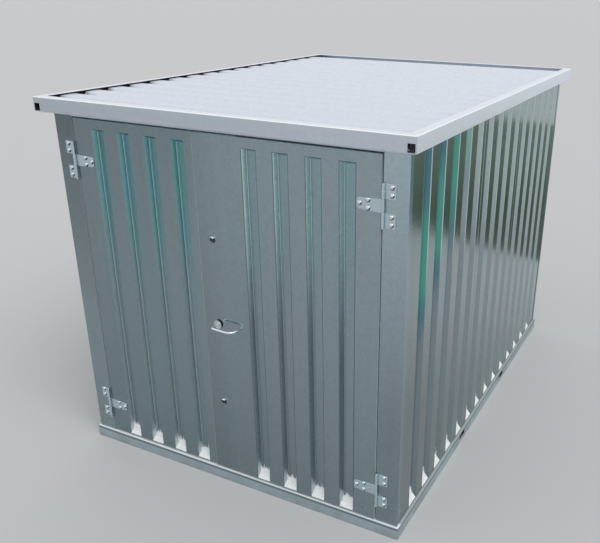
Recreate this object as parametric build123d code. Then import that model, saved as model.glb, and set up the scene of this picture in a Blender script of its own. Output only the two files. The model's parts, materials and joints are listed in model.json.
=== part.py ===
from build123d import *
import os
from math import sqrt

# Self-assembly steel storage container with a two-leaf door, in millimetres.
# X runs across the width, the doors face -Y, Z is up, and the origin is on the ground under the centre.

# Overall frames
roof_length = 3050
roof_width = 2200
overall_height = 2150
end_overhang = 62.5
side_overhang = 42.5
base_height = 75

# Metal thicknesses
rail_metal = 2.5
roof_metal = 2.0
post_metal = 2.0
sheet_metal = 1.0
hinge_metal = 3.0

# Fits and clearances
seat_gap = 0.3
running_gap = 0.1
door_gap = 5
leaf_seam = 6
sill_gap = 8
cutter_overrun = 1

# Base frame and floor
ledge = 12
base_flange = 65
lift_slot_length = 100
lift_slot_height = 36
lift_slot_low = 26
lift_slot_spacing = 874
joist_count = 4
joist_pitch = 580
joist_flange = 40
floor_thickness = 21
floor_board_names = ("front", "back")

# Corner posts and door frame
post_face = 126
post_leg = 40
jamb_depth = 48
stop_lip = 22
header_overlap = 22

# Wall sheets
rib_depth = 35
rib_end_run = 55
rib_flank = 12
wall_rib_mouth = 94
side_rib_pitch = 190
side_panel_names = ("front", "middle", "back")
back_rib_pitch = 190
back_panel_names = ("right", "left")
panel_return = 25
wall_rib_margin = 100
rib_margin = 6

# Roof
roof_face = 78
roof_rim = 50
roof_sheet_lap = 12
roof_ledge_width = 42
roof_rib_pitch = 177
roof_rib_mouth = 86
roof_rib_margin = 20
roof_panel_names = ("front", "middle", "back")
beam_window = 44
beam_window_edge = 5

# Doors
seam_x = -119
leaf_step = 6
leaf_return = 38
door_rib_mouth = 83
door_rib_pitch = 177
door_rib_inner = 215
door_rib_margin = 100
door_rib_top_margin = 52
brace_height = 45
brace_depth = 14
brace_from_foot = 247
brace_from_top = 265

# Hinges
hinge_setback = 5.5
hinge_stand = 10
hinge_from_foot = 194
hinge_from_top = 230
knuckle_radius = 8
pin_radius = 4.5
lug_width = 60
lug_height = 70
strap_length = 130
strap_height = 64
strap_chamfer = 16
knuckle_gap = 0.5

# Handle and lock
handle_x = -30
handle_level = 1025
handle_tilt = 8
bar_radius = 6
bow_reach = 140
bow_stand = 62
bow_bend = 18
bow_tip_gap = 8
rosette_radius = 25
rosette_height = 9
rosette_top_radius = 20
rosette_edge = 3
rod_radius = 6
rod_end_gap = 6
guide_from_handle = 480
guide_width = 44
guide_height = 30
guide_wall = 4
guide_neck_radius = 6
guide_dome_radius = 18
guide_dome_top_radius = 10.8
guide_dome_height = 9
hole_margin = 1.5
lock_case_width = 64
lock_case_height = 210
lock_case_depth = 28

# Planes worked out from the sizes above
base_length = roof_length - 2 * end_overhang
base_width = roof_width - 2 * side_overhang
wall_x = base_width / 2 - ledge
wall_y = base_length / 2 - ledge
sheet_x = wall_x - post_metal - seat_gap
sheet_y = wall_y - post_metal - seat_gap
wall_foot = base_height + seat_gap
roof_sheet_top = overall_height - roof_metal - seat_gap
roof_sheet_low = roof_sheet_top - rib_depth - sheet_metal
roof_ledge_low = roof_sheet_low - seat_gap - roof_metal
wall_top = roof_ledge_low - seat_gap
jamb_x = wall_x - post_face
leaf_x = jamb_x - door_gap
leaf_foot = base_height + sill_gap
frame_foot_z = overall_height - roof_face
leaf_top = frame_foot_z - header_overlap - door_gap
header_foot = leaf_top + door_gap
left_face = -wall_y
right_face = -wall_y - leaf_step
axis_x = jamb_x + hinge_setback
axis_y = -wall_y - hinge_stand
hinge_levels = (leaf_foot + hinge_from_foot, leaf_top - hinge_from_top)
brace_levels = (leaf_foot + brace_from_foot, leaf_top - brace_from_top)
guide_levels = (handle_level - guide_from_handle, handle_level + guide_from_handle)


def folded_outline(points, metal):
    """Outline of a sheet folded along the points, its thickness to the left of the path."""
    path = [Vector(*point) for point in points]
    runs = [(end - start).normalized() for start, end in zip(path, path[1:])]
    sides = [Vector(-run.Y, run.X) for run in runs]
    inner = [path[0] + sides[0] * metal]
    for point, before, after in zip(path[1:-1], sides, sides[1:]):
        inner.append(point + (before + after) * (metal / (1 + before.dot(after))))
    inner.append(path[-1] + sides[-1] * metal)
    return path + inner[::-1]


def folded_bar(plane, points, metal, length):
    """A folded section drawn on a plane and pulled along its normal."""
    outline = Polyline(*folded_outline(points, metal), close=True)
    return extrude(plane * make_face(outline), length)


def slab(x_span, y_span, z_span):
    """A plain block between two limits on each axis."""
    low = Vector(x_span[0], y_span[0], z_span[0])
    size = Vector(x_span[1], y_span[1], z_span[1]) - low
    return Pos(low) * Box(size.X, size.Y, size.Z, align=Align.MIN)


def save(name, shape):
    export_step(shape, f"parts/{name}.step")


def mitred_rail(section, metal, length, half_span, turn):
    """One side of a rectangular frame, mitred at both ends; sections run inwards, then up."""
    front = Plane(origin=(-length / 2, -half_span, 0), x_dir=(0, 1, 0), z_dir=(1, 0, 0))
    rail = folded_bar(front, section, metal, length)
    for side in (-1, 1):
        cut_at = (side * (length / 2 - seat_gap), -half_span, 0)
        rail = split(rail, bisect_by=Plane(origin=cut_at, z_dir=(-side, -1, 0)), keep=Keep.TOP)
    return Rot(0, 0, turn) * rail


def block_between(near, far, half_near, half_far, z_near, z_far, centre):
    """A tapered block whose near and far ends are rectangles facing along Y."""
    def ring(y, half, z_span):
        low, high = z_span
        return [(centre - half, y, low), (centre + half, y, low),
                (centre + half, y, high), (centre - half, y, high)]

    a = ring(near, half_near, z_near)
    b = ring(far, half_far, z_far)
    loops = [a, b[::-1]]
    for i in range(4):
        j = (i + 1) % 4
        loops.append([a[j], a[i], b[i], b[j]])
    faces = [Face(Wire.make_polygon(loop, close=True)) for loop in loops]
    return Solid(Shell(faces))


def rib_block(centre, z_span, mouth, near, far, skin):
    """The space of one pressed rib, from depth near to depth far, grown all round by a skin."""
    low, high = z_span
    flank = rib_flank / rib_depth
    run = rib_end_run / rib_depth
    side_skin = skin * sqrt(1 + flank**2)
    end_skin = skin * sqrt(1 + run**2)

    def half(y):
        return mouth / 2 + side_skin - flank * y

    def span(y):
        return (low - end_skin + run * y, high + end_skin - run * y)

    return block_between(near, far, half(near), half(far), span(near), span(far), centre)


def press_ribs(sheet, centres, z_span, mouth):
    """Presses inward ribs with sloping ends into a sheet whose outer face is at y = 0."""
    for centre in centres:
        sheet = sheet + rib_block(centre, z_span, mouth, sheet_metal / 2, rib_depth + sheet_metal, sheet_metal)
    for centre in centres:
        sheet = sheet - rib_block(centre, z_span, mouth, -1, rib_depth, 0)
    return sheet


def rib_count(span, mouth, pitch):
    """How many ribs of one mouth and pitch fit into a span."""
    return int((span - mouth) / pitch) + 1


def rib_rows(total, panels, pitch):
    """Centres of the ribs of each panel in a row, shared out evenly about the middle."""
    shares = [round(i * total / panels) for i in range(panels + 1)]
    middle = (total - 1) / 2
    return [[(i - middle) * pitch for i in range(*pair)] for pair in zip(shares, shares[1:])]


def panel_limits(rows, half_span):
    """Start and end of each panel in a row, with a seat gap between neighbours."""
    limits = []
    for i, row in enumerate(rows):
        start = -half_span if i == 0 else (rows[i - 1][-1] + row[0] + seat_gap) / 2
        end = half_span if i == len(rows) - 1 else (row[-1] + rows[i + 1][0] - seat_gap) / 2
        limits.append((start, end))
    return limits


def wall_panel(span, centres):
    """A wall sheet with both upright edges folded inwards, its outer face at y = 0."""
    start, end = span
    section = [(start, panel_return), (start, 0), (end, 0), (end, panel_return)]
    sheet = folded_bar(Plane.XY, section, sheet_metal, wall_top - wall_foot)
    sheet = Pos(0, 0, wall_foot) * sheet
    return press_ribs(sheet, centres, (wall_foot + rib_margin, wall_top - rib_margin), wall_rib_mouth)


# Base frame
base_section = [
    (base_flange, base_height), (0, base_height), (0, 0), (base_flange, 0),
]
rail_sides = {
    "front": (base_width, base_length / 2, 0),
    "right": (base_length, base_width / 2, 90),
    "back": (base_width, base_length / 2, 180),
    "left": (base_length, base_width / 2, 270),
}
for side, (length, half_span, turn) in rail_sides.items():
    rail = mitred_rail(base_section, rail_metal, length, half_span, turn)
    if side in ("left", "right"):
        for place in (-lift_slot_spacing / 2, lift_slot_spacing / 2):
            y_span = (place - lift_slot_length / 2, place + lift_slot_length / 2)
            z_span = (lift_slot_low, lift_slot_low + lift_slot_height)
            x_side = 1 if side == "right" else -1
            x_outer = base_width / 2 + cutter_overrun
            x_span = sorted((x_side * x_outer, x_side * (x_outer - rail_metal - 2 * cutter_overrun)))
            rail = rail - slab(x_span, y_span, z_span)
    save(f"base_rail_{side}", rail)

# Floor joists and floor boards
joist_end = base_width / 2 - base_flange - seat_gap
joist_section = [
    (joist_flange, base_height), (0, base_height), (0, 0), (joist_flange, 0),
]
joists = []
for i in range(joist_count):
    place = (i - (joist_count - 1) / 2) * joist_pitch - joist_flange / 2
    plane = Plane(origin=(-joist_end, place, 0), x_dir=(0, 1, 0), z_dir=(1, 0, 0))
    joists.append(folded_bar(plane, joist_section, rail_metal, 2 * joist_end))
save("floor_joists", Compound(children=joists))

stop_y = -wall_y + jamb_depth
floor_front = stop_y + seat_gap
floor_back = sheet_y - rib_depth - sheet_metal - seat_gap
floor_half = sheet_x - rib_depth - sheet_metal - seat_gap
board_seams = (len(floor_board_names) - 1) * seat_gap
board_length = (floor_back - floor_front - board_seams) / len(floor_board_names)
for i, name in enumerate(floor_board_names):
    start = floor_front + i * (board_length + seat_gap)
    z_span = (wall_foot, wall_foot + floor_thickness)
    save(f"floor_board_{name}", slab((-floor_half, floor_half), (start, start + board_length), z_span))

# Door sill, header and corner posts
sill_start = (-jamb_x + seat_gap, stop_y - post_metal - seat_gap, wall_foot)
sill_plane = Plane(origin=sill_start, x_dir=(0, 1, 0), z_dir=(1, 0, 0))
sill_points = [(0, leaf_foot + stop_lip - wall_foot), (0, 0), (-stop_lip, 0)]
sill = folded_bar(sill_plane, sill_points, -post_metal, 2 * (jamb_x - seat_gap))
save("door_sill", sill)

header_depth = jamb_depth - 2 * post_metal - seat_gap
header_plane = Plane(origin=(-jamb_x + seat_gap, -wall_y, 0), x_dir=(0, 1, 0), z_dir=(1, 0, 0))
header_points = [
    (0, wall_top), (0, header_foot), (header_depth, header_foot), (header_depth, header_foot - stop_lip),
]
save("door_header", folded_bar(header_plane, header_points, post_metal, 2 * (jamb_x - seat_gap)))

front_post_points = [
    (wall_x, -wall_y + post_leg), (wall_x, -wall_y), (jamb_x, -wall_y),
    (jamb_x, -wall_y + jamb_depth - post_metal), (jamb_x - stop_lip, -wall_y + jamb_depth - post_metal),
]
back_post_points = [(wall_x - post_leg, wall_y), (wall_x, wall_y), (wall_x, wall_y - post_leg)]
post_plane = Plane(origin=(0, 0, wall_foot), x_dir=(1, 0, 0), z_dir=(0, 0, 1))
front_post = folded_bar(post_plane, front_post_points, -post_metal, wall_top - wall_foot)
back_post = folded_bar(post_plane, back_post_points, -post_metal, wall_top - wall_foot)
save("corner_post_front_right", front_post)
save("corner_post_front_left", mirror(front_post, Plane.YZ))
save("corner_post_back_right", back_post)
save("corner_post_back_left", mirror(back_post, Plane.YZ))

# Side and back walls
side_total = rib_count(2 * (sheet_y - wall_rib_margin), wall_rib_mouth, side_rib_pitch)
side_rows = rib_rows(side_total, len(side_panel_names), side_rib_pitch)
for name, span, centres in zip(side_panel_names, panel_limits(side_rows, sheet_y), side_rows):
    panel = wall_panel(span, centres)
    save(f"side_wall_right_{name}", Pos(sheet_x, 0, 0) * Rot(0, 0, 90) * panel)
    mirrored = mirror(Pos(sheet_x, 0, 0) * Rot(0, 0, 90) * panel, Plane.YZ)
    save(f"side_wall_left_{name}", mirrored)

back_half = sheet_x - panel_return - seat_gap
back_total = rib_count(2 * (back_half - wall_rib_margin), wall_rib_mouth, back_rib_pitch)
back_rows = rib_rows(back_total, len(back_panel_names), back_rib_pitch)
for name, span, centres in zip(back_panel_names, panel_limits(back_rows, back_half), back_rows):
    panel = wall_panel(span, centres)
    save(f"back_wall_{name}", Pos(0, sheet_y, 0) * Rot(0, 0, 180) * panel)

# Roof frame
for side, (length, half_span, turn) in {
    "front": (roof_width, roof_length / 2, 0),
    "right": (roof_length, roof_width / 2, 90),
    "back": (roof_width, roof_length / 2, 180),
    "left": (roof_length, roof_width / 2, 270),
}.items():
    across = side in ("front", "back")
    upstand = half_span - (wall_y if across else wall_x) - seat_gap
    section = [
        (roof_rim, overall_height), (0, overall_height), (0, frame_foot_z), (upstand, frame_foot_z),
        (upstand, roof_ledge_low), (upstand + roof_ledge_width, roof_ledge_low),
    ]
    rail = mitred_rail(section, roof_metal, length, half_span, turn)
    if across:
        for x_side in (-1, 1):
            inner = roof_width / 2 - beam_window_edge - beam_window
            x_span = sorted((x_side * inner, x_side * (inner + beam_window)))
            z_low = frame_foot_z + beam_window_edge
            y_side = -1 if side == "front" else 1
            y_outer = roof_length / 2 + cutter_overrun
            y_span = sorted((y_side * y_outer, y_side * (y_outer - roof_metal - 2 * cutter_overrun)))
            rail = rail - slab(x_span, y_span, (z_low, z_low + beam_window))
    save(f"roof_beam_{side}", rail)

# Roof sheets, ribbed across the width and open at their ends under the rim
sheet_half_x = roof_width / 2 - roof_rim + roof_sheet_lap
sheet_half_y = roof_length / 2 - roof_rim + roof_sheet_lap
roof_total = rib_count(2 * (sheet_half_y - roof_rib_margin), roof_rib_mouth, roof_rib_pitch)
roof_rows = rib_rows(roof_total, len(roof_panel_names), roof_rib_pitch)
for name, span, centres in zip(roof_panel_names, panel_limits(roof_rows, sheet_half_y), roof_rows):
    points = [(span[0], roof_sheet_top)]
    for centre in centres:
        points += [
            (centre - roof_rib_mouth / 2, roof_sheet_top),
            (centre - roof_rib_mouth / 2 + rib_flank, roof_sheet_top - rib_depth),
            (centre + roof_rib_mouth / 2 - rib_flank, roof_sheet_top - rib_depth),
            (centre + roof_rib_mouth / 2, roof_sheet_top),
        ]
    points.append((span[1], roof_sheet_top))
    plane = Plane(origin=(-sheet_half_x, 0, 0), x_dir=(0, 1, 0), z_dir=(1, 0, 0))
    save(f"roof_sheet_{name}", folded_bar(plane, points, -sheet_metal, 2 * sheet_half_x))


def door_leaf(x_span, centres):
    """A door sheet folded inwards along all four edges and ribbed, its outer face at y = 0."""
    sheet = slab(x_span, (0, leaf_return), (leaf_foot, leaf_top))
    inner_x = (x_span[0] + sheet_metal, x_span[1] - sheet_metal)
    inner_z = (leaf_foot + sheet_metal, leaf_top - sheet_metal)
    sheet = sheet - slab(inner_x, (sheet_metal, leaf_return + cutter_overrun), inner_z)
    return press_ribs(sheet, centres, (leaf_foot + rib_margin, leaf_top - door_rib_top_margin), door_rib_mouth)


def round_hole(x, z, radius, face):
    """A round cutter along Y through a door sheet."""
    return Pos(x, face, z) * Rot(90, 0, 0) * Cylinder(radius, 2 * (sheet_metal + cutter_overrun))


# Door leaves
door_rib_reach = leaf_x - door_rib_margin - door_rib_inner + door_rib_mouth / 2
door_rib_total = rib_count(door_rib_reach, door_rib_mouth, door_rib_pitch)
right_ribs = [door_rib_inner + i * door_rib_pitch for i in range(door_rib_total)]
left_ribs = [-place for place in right_ribs]
left_leaf = Pos(0, left_face, 0) * door_leaf((-leaf_x, seam_x - leaf_seam / 2), left_ribs)
right_leaf = Pos(0, right_face, 0) * door_leaf((seam_x + leaf_seam / 2, leaf_x), right_ribs)
right_leaf = right_leaf - round_hole(handle_x, handle_level, bar_radius + hole_margin, right_face)
for level in guide_levels:
    right_leaf = right_leaf - round_hole(handle_x, level, guide_neck_radius + seat_gap, right_face)
save("door_left", left_leaf)
save("door_right", right_leaf)

# Door braces across the backs of the ribs
brace_section = [
    (-brace_height / 2, 0), (-brace_height / 2, brace_depth),
    (brace_height / 2, brace_depth), (brace_height / 2, 0),
]
for name, face, ribs in (("left", left_face, left_ribs), ("right", right_face, right_ribs)):
    start = min(ribs) - door_rib_mouth / 2
    length = max(ribs) + door_rib_mouth / 2 - start
    back = face + rib_depth + sheet_metal + seat_gap
    bars = []
    for level in brace_levels:
        plane = Plane(origin=(start, back, level), x_dir=(0, 0, 1), z_dir=(1, 0, 0))
        points = [(u, -v) for u, v in brace_section]
        bars.append(folded_bar(plane, points, sheet_metal, length))
    save(f"door_{name}_braces", Compound(children=bars))

# Hinges: two lugs with the pin on the post, one strap with the middle knuckle on the leaf
for side, x_side, leaf_face in (("left", -1, left_face), ("right", 1, right_face)):
    for place, level in zip(("lower", "upper"), hinge_levels):
        x = x_side * axis_x
        lug_y = (-wall_y - seat_gap - hinge_metal, -wall_y - seat_gap)
        lug_x = sorted((x, x + x_side * lug_width))
        pin_half = strap_height / 2 + knuckle_gap + lug_height
        lugs = Pos(x, axis_y, level) * Cylinder(pin_radius, 2 * pin_half)
        for up in (-1, 1):
            middle = level + up * (strap_height / 2 + knuckle_gap + lug_height / 2)
            lugs = lugs + Pos(x, axis_y, middle) * Cylinder(knuckle_radius, lug_height)
            lugs = lugs + slab(lug_x, lug_y, (middle - lug_height / 2, middle + lug_height / 2))
        save(f"hinge_lugs_{place}_{side}", lugs)

        strap_y = (leaf_face - seat_gap - hinge_metal, leaf_face - seat_gap)
        strap_x = sorted((x, x - x_side * strap_length))
        strap = slab(strap_x, strap_y, (level - strap_height / 2, level + strap_height / 2))
        tip = x - x_side * strap_length
        tip_edges = [e for e in strap.edges().filter_by(Axis.Y) if abs(e.center().X - tip) < hinge_metal]
        strap = chamfer(tip_edges, strap_chamfer)
        strap = strap + Pos(x, axis_y, level) * Cylinder(knuckle_radius, strap_height)
        bore_length = strap_height + 2 * cutter_overrun
        strap = strap - Pos(x, axis_y, level) * Cylinder(pin_radius + running_gap, bore_length)
        save(f"hinge_strap_{place}_{side}", strap)

# Handle: a round bar bent into a bow that turns in a rosette
bow_path = FilletPolyline(
    (0, lock_case_depth / 2), (0, -bow_stand), (bow_reach, -bow_stand), (bow_reach, -bow_tip_gap - bar_radius),
    radius=bow_bend,
)
bow_plane = Plane(origin=(handle_x, right_face, handle_level), x_dir=(1, 0, 0), z_dir=(0, 0, 1))
bow_start = Plane(origin=(handle_x, right_face + lock_case_depth / 2, handle_level), z_dir=(0, -1, 0))
bow = sweep(bow_start * Circle(bar_radius), path=bow_plane * bow_path)
tip_place = (handle_x + bow_reach, right_face - bow_tip_gap - bar_radius, handle_level)
bow = bow + Pos(tip_place) * Sphere(bar_radius)
save("handle_bow", bow.rotate(Axis((handle_x, right_face, handle_level), (0, 1, 0)), -handle_tilt))

rosette_outline = Polyline(
    (bar_radius + running_gap, 0), (rosette_radius, 0), (rosette_radius, rosette_edge),
    (rosette_top_radius, rosette_height), (bar_radius + running_gap, rosette_height), close=True,
)
rosette = revolve(make_face(rosette_outline), Axis.Y)
save("handle_rosette", Pos(handle_x, right_face - seat_gap, handle_level) * mirror(rosette, Plane.XZ))

# Lock case, rods and rod guides on the inner side of the right leaf
inner_face = right_face + sheet_metal + seat_gap
case_x = (handle_x - lock_case_width / 2, handle_x + lock_case_width / 2)
case_z = (handle_level - lock_case_height / 2, handle_level + lock_case_height / 2)
case = slab(case_x, (inner_face, inner_face + lock_case_depth), case_z)
case = case - slab(
    (case_x[0] + sheet_metal, case_x[1] - sheet_metal),
    (inner_face - cutter_overrun, inner_face + lock_case_depth - sheet_metal),
    (case_z[0] + sheet_metal, case_z[1] - sheet_metal),
)
save("lock_case", case)

rod_y = inner_face + lock_case_depth / 2
rods = []
lower_rod = (leaf_foot + rod_end_gap, case_z[0] - seat_gap)
upper_rod = (case_z[1] + seat_gap, leaf_top - rod_end_gap)
for low, high in (lower_rod, upper_rod):
    rods.append(Pos(handle_x, rod_y, (low + high) / 2) * Cylinder(rod_radius, high - low))
save("lock_rods", Compound(children=rods))

guides = []
neck_length = 2 * (sheet_metal + 2 * seat_gap)
for level in guide_levels:
    block = slab(
        (handle_x - guide_width / 2, handle_x + guide_width / 2),
        (inner_face, rod_y + rod_radius + guide_wall),
        (level - guide_height / 2, level + guide_height / 2),
    )
    neck = Pos(handle_x, right_face, level) * Rot(90, 0, 0) * Cylinder(guide_neck_radius, neck_length)
    dome = Pos(handle_x, right_face - seat_gap, level) * Rot(90, 0, 0) * Cone(
        guide_dome_radius, guide_dome_top_radius, guide_dome_height,
        align=(Align.CENTER, Align.CENTER, Align.MIN),
    )
    guide = block + neck + dome
    bore_length = guide_height + 2 * cutter_overrun
    guide = guide - Pos(handle_x, rod_y, level) * Cylinder(rod_radius + running_gap, bore_length)
    guides.append(guide)
save("rod_guides", Compound(children=guides))
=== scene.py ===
import json
from math import cos, pi, radians, sin

import bmesh
import bpy
from mathutils import Matrix, Vector

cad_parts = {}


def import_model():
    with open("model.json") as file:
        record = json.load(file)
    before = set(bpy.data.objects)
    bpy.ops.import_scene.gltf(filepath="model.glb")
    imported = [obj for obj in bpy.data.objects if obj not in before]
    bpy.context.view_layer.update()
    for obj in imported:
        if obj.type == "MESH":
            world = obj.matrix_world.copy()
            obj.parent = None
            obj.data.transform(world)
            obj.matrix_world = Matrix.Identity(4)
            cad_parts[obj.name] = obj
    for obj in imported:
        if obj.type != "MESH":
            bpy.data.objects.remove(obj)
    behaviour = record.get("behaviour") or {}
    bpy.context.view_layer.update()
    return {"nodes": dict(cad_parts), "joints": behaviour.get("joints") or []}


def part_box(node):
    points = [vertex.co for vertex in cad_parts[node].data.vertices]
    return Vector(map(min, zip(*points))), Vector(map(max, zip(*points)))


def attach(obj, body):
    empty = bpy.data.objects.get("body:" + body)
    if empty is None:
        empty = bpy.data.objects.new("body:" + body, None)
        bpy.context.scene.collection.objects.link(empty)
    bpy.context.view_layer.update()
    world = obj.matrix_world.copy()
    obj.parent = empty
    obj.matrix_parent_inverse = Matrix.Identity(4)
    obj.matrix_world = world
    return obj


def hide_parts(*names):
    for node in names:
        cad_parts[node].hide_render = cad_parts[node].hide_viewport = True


# A galvanised storage container with a two-leaf door, in metres.
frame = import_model()

# Camera, fitted to the corners of the container
CAMERA_PLACE = (2.189, -4.231, 2.706)
CAMERA_AZIMUTH = 26.34
CAMERA_ELEVATION = 22.84
CAMERA_ROLL = 0.67
CAMERA_LENS = 43.0
CAMERA_FILM = 36
CAMERA_SHIFT = (-0.10, 0.0275)
CAMERA_REACH = 200

# Pressed ribs of the wall and door sheets
SHEET_METAL = 0.001
SHEET_FOLD = 0.003
RIB_DEPTH = 0.035
RIB_FLANK = 0.012
RIB_RUN = 0.055
RIB_INNER_FOLD = 0.008
RIB_INNER_STEPS = 6
RIB_MARGIN = 0.006
WALL_MOUTH = 0.094
WALL_PITCH = 0.190
SIDE_RIBS = 14
BACK_RIBS = 10
WALL_RETURN = 0.025
DOOR_MOUTH = 0.083
DOOR_PITCH = 0.177
DOOR_RIB_INNER = 0.215
DOOR_RIBS = 4
DOOR_TOP_MARGIN = 0.052
DOOR_RETURN = 0.038

# Roof
ROOF_PITCH = 0.177
ROOF_MOUTH = 0.086
ROOF_RIBS = 17
ROOF_DEPTH = 0.028
BEAM_METAL = 0.002
BEAM_FOLD = 0.005
BEAM_RIM = 0.050
BEAM_LEDGE = 0.042
BEAM_WINDOW = 0.036
BEAM_WINDOW_HEIGHT = 0.039
BEAM_WINDOW_EDGE = 0.006
HAIR_GAP = 0.0003

# Base frame, posts and door frame
RAIL_METAL = 0.0025
RAIL_FOLD = 0.006
RAIL_FLANGE = 0.065
SLOT_LENGTH = 0.100
SLOT_HEIGHT = 0.036
SLOT_LOW = 0.026
SLOT_SPACING = 0.874
POST_METAL = 0.002
POST_FOLD = 0.004
POST_LEG = 0.040
STOP_LIP = 0.022

# Hinges, bolts and lock
HINGE_METAL = 0.003
HINGE_EDGE = 0.0008
STRAP_CHAMFER = 0.009
STRAP_TAPER = 0.005
STRAP_BOLT_TIP = 0.014
STRAP_BOLT_PAIR = 0.056
STRAP_BOLT_RISE = 0.019
LUG_BOLT_REACH = 0.040
LUG_BOLT_RISE = 0.0185
LUG_HEIGHT = 0.070
PIN_SHARE = 0.55
PIN_PROUD = 0.006
BOLT_RADIUS = 0.0115
BOLT_HEIGHT = 0.0065
BOLT_RIM = 0.25
BOLT_STEPS = 5
SPINDLE_HOLE = 0.0075
GUIDE_HOLE = 0.0063
GUIDE_SPAN = 0.960
BAR_RADIUS = 0.006
BOW_STAND = 0.062
BOW_FIRST_BEND = 0.010
BOW_RUN = 0.076
BOW_LAST_BEND = 0.047
BOW_TIP_GAP = 0.008
BOW_TILT = -2.4
BEND_STEPS = 10
TIP_STEPS = 4
ROSE_RING = 0.0045
DISH_DEPTH = 0.0025
COLLAR_RADIUS = 0.0215
COLLAR_HEIGHT = 0.005
COLLAR_RING = 0.003

# How near two measures are that count as the same, and angles up to which faces shade as one
NEAR = 1e-5
SHEET_ANGLE = 40
HINGE_ANGLE = 50
BAR_ANGLE = 35


# Modelling helpers

def close(a, b):
    return abs(a - b) < NEAR


def only(piece):
    """Makes one piece the only selected and active one."""
    bpy.ops.object.select_all(action="DESELECT")
    piece.select_set(True)
    bpy.context.view_layer.objects.active = piece


def named(name):
    """Names the primitive that was just added."""
    piece = bpy.context.object
    piece.name = name
    piece.data.name = name
    return piece


def edit(piece):
    only(piece)
    bpy.ops.object.mode_set(mode="EDIT")


def done(piece):
    bpy.ops.object.mode_set(mode="OBJECT")
    return piece


def set_down(piece):
    """Moves a piece's place, turn and scale into its mesh."""
    only(piece)
    bpy.ops.object.transform_apply(location=True, rotation=True, scale=True)
    return piece


def choose_faces(piece, test):
    """Selects, in edit mode, the faces whose middle passes a test."""
    bpy.ops.mesh.select_mode(type="FACE")
    bpy.ops.mesh.select_all(action="DESELECT")
    for face in bmesh.from_edit_mesh(piece.data).faces:
        face.select_set(test(face.calc_center_median()))
    bmesh.update_edit_mesh(piece.data)


def choose_edges(piece, test):
    """Selects, in edit mode, the edges that pass a test of their middle and of themselves."""
    bpy.ops.mesh.select_mode(type="EDGE")
    bpy.ops.mesh.select_all(action="DESELECT")
    for edge in bmesh.from_edit_mesh(piece.data).edges:
        if test((edge.verts[0].co + edge.verts[1].co) / 2, edge):
            edge.select_set(True)
    bmesh.update_edit_mesh(piece.data)


def cut(place, normal):
    """Cuts the whole mesh in edit mode by a plane, leaving an edge there."""
    bpy.ops.mesh.select_all(action="SELECT")
    bpy.ops.mesh.bisect(plane_co=place, plane_no=normal)


def extrude(shift):
    """Extrudes the selected faces by a shift."""
    bpy.ops.mesh.extrude_region_move(TRANSFORM_OT_translate={"value": shift})


def extrude_edges(shift):
    """Extrudes the selected edges by a shift."""
    bpy.ops.mesh.extrude_edges_move(TRANSFORM_OT_translate={"value": shift})


def face_outwards():
    """Turns every face of the mesh in edit mode outwards."""
    bpy.ops.mesh.select_all(action="SELECT")
    bpy.ops.mesh.normals_make_consistent(inside=False)


def bevel_folds(width, segments=3, angle=15):
    """Rounds every fold sharper than an angle, in edit mode."""
    bpy.ops.mesh.select_mode(type="EDGE")
    bpy.ops.mesh.select_all(action="DESELECT")
    bpy.ops.mesh.edges_select_sharp(sharpness=radians(angle))
    bpy.ops.mesh.bevel(offset=width, segments=segments, affect="EDGES")


def round_folds(piece, width, segments=3, angle=15):
    edit(piece)
    bevel_folds(width, segments, angle)
    return done(piece)


def soften(piece, angle=30):
    """Rounds the edges of a fitting a little."""
    return round_folds(piece, HINGE_EDGE, 2, angle)


def modifier(piece, kind, **settings):
    """Adds a modifier with its settings and applies it."""
    only(piece)
    made = piece.modifiers.new(kind.lower(), kind)
    for key, value in settings.items():
        setattr(made, key, value)
    bpy.ops.object.modifier_apply(modifier=made.name)


def combine(piece, other, operation):
    """Unites a solid with another one, or cuts the other one out of it."""
    modifier(piece, "BOOLEAN", object=other, operation=operation, solver="EXACT")
    bpy.data.objects.remove(other)
    return piece


def thicken(piece, metal):
    """Gives a sheet its metal thickness, inwards from its outer face."""
    modifier(piece, "SOLIDIFY", thickness=metal, offset=-1, use_even_offset=True)
    return piece


def smooth(piece, angle=SHEET_ANGLE):
    """Smooth shading over the rounded folds, with flat faces kept flat."""
    only(piece)
    bpy.ops.object.shade_smooth_by_angle(angle=radians(angle))
    modifier(piece, "WEIGHTED_NORMAL", keep_sharp=True)
    return piece


def folded_metal(piece, fold, metal):
    """Rounds a folded sheet's edges and gives it its thickness."""
    return smooth(thicken(round_folds(piece, fold), metal))


def strip(name, corner, along, across):
    """A flat strip with its corner and two sides given, facing along x across."""
    along = Vector(along)
    across = Vector(across)
    axes = Matrix((along.normalized(), across.normalized(), along.cross(across).normalized()))
    bpy.ops.mesh.primitive_plane_add(
        size=1, location=Vector(corner) + (along + across) / 2, rotation=axes.transposed().to_euler(),
    )
    piece = named(name)
    piece.scale = (along.length, across.length, 1)
    return set_down(piece)


def folded_strip(name, path, run):
    """A strip folded along a path of points and as long as a run."""
    path = [Vector(point) for point in path]
    run = Vector(run)
    piece = strip(name, path[0], run, path[1] - path[0])
    edit(piece)
    for here, there in zip(path[1:], path[2:]):
        middle = here + run / 2
        choose_edges(piece, lambda spot, edge: (spot - middle).length < NEAR)
        extrude_edges(there - here)
    return done(piece)


def open_window(piece, face_y, x_span, z_span):
    """Cuts a rectangular window in the flat face that stands at one y."""
    edit(piece)
    for axis, span in ((Vector((1, 0, 0)), x_span), (Vector((0, 0, 1)), z_span)):
        for limit in span:
            choose_faces(piece, lambda spot: close(spot.y, face_y))
            bpy.ops.mesh.bisect(plane_co=axis * limit, plane_no=axis)
    choose_faces(piece, lambda spot: close(spot.y, face_y)
                 and x_span[0] < spot.x < x_span[1] and z_span[0] < spot.z < z_span[1])
    bpy.ops.mesh.delete(type="FACE")
    done(piece)


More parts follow.
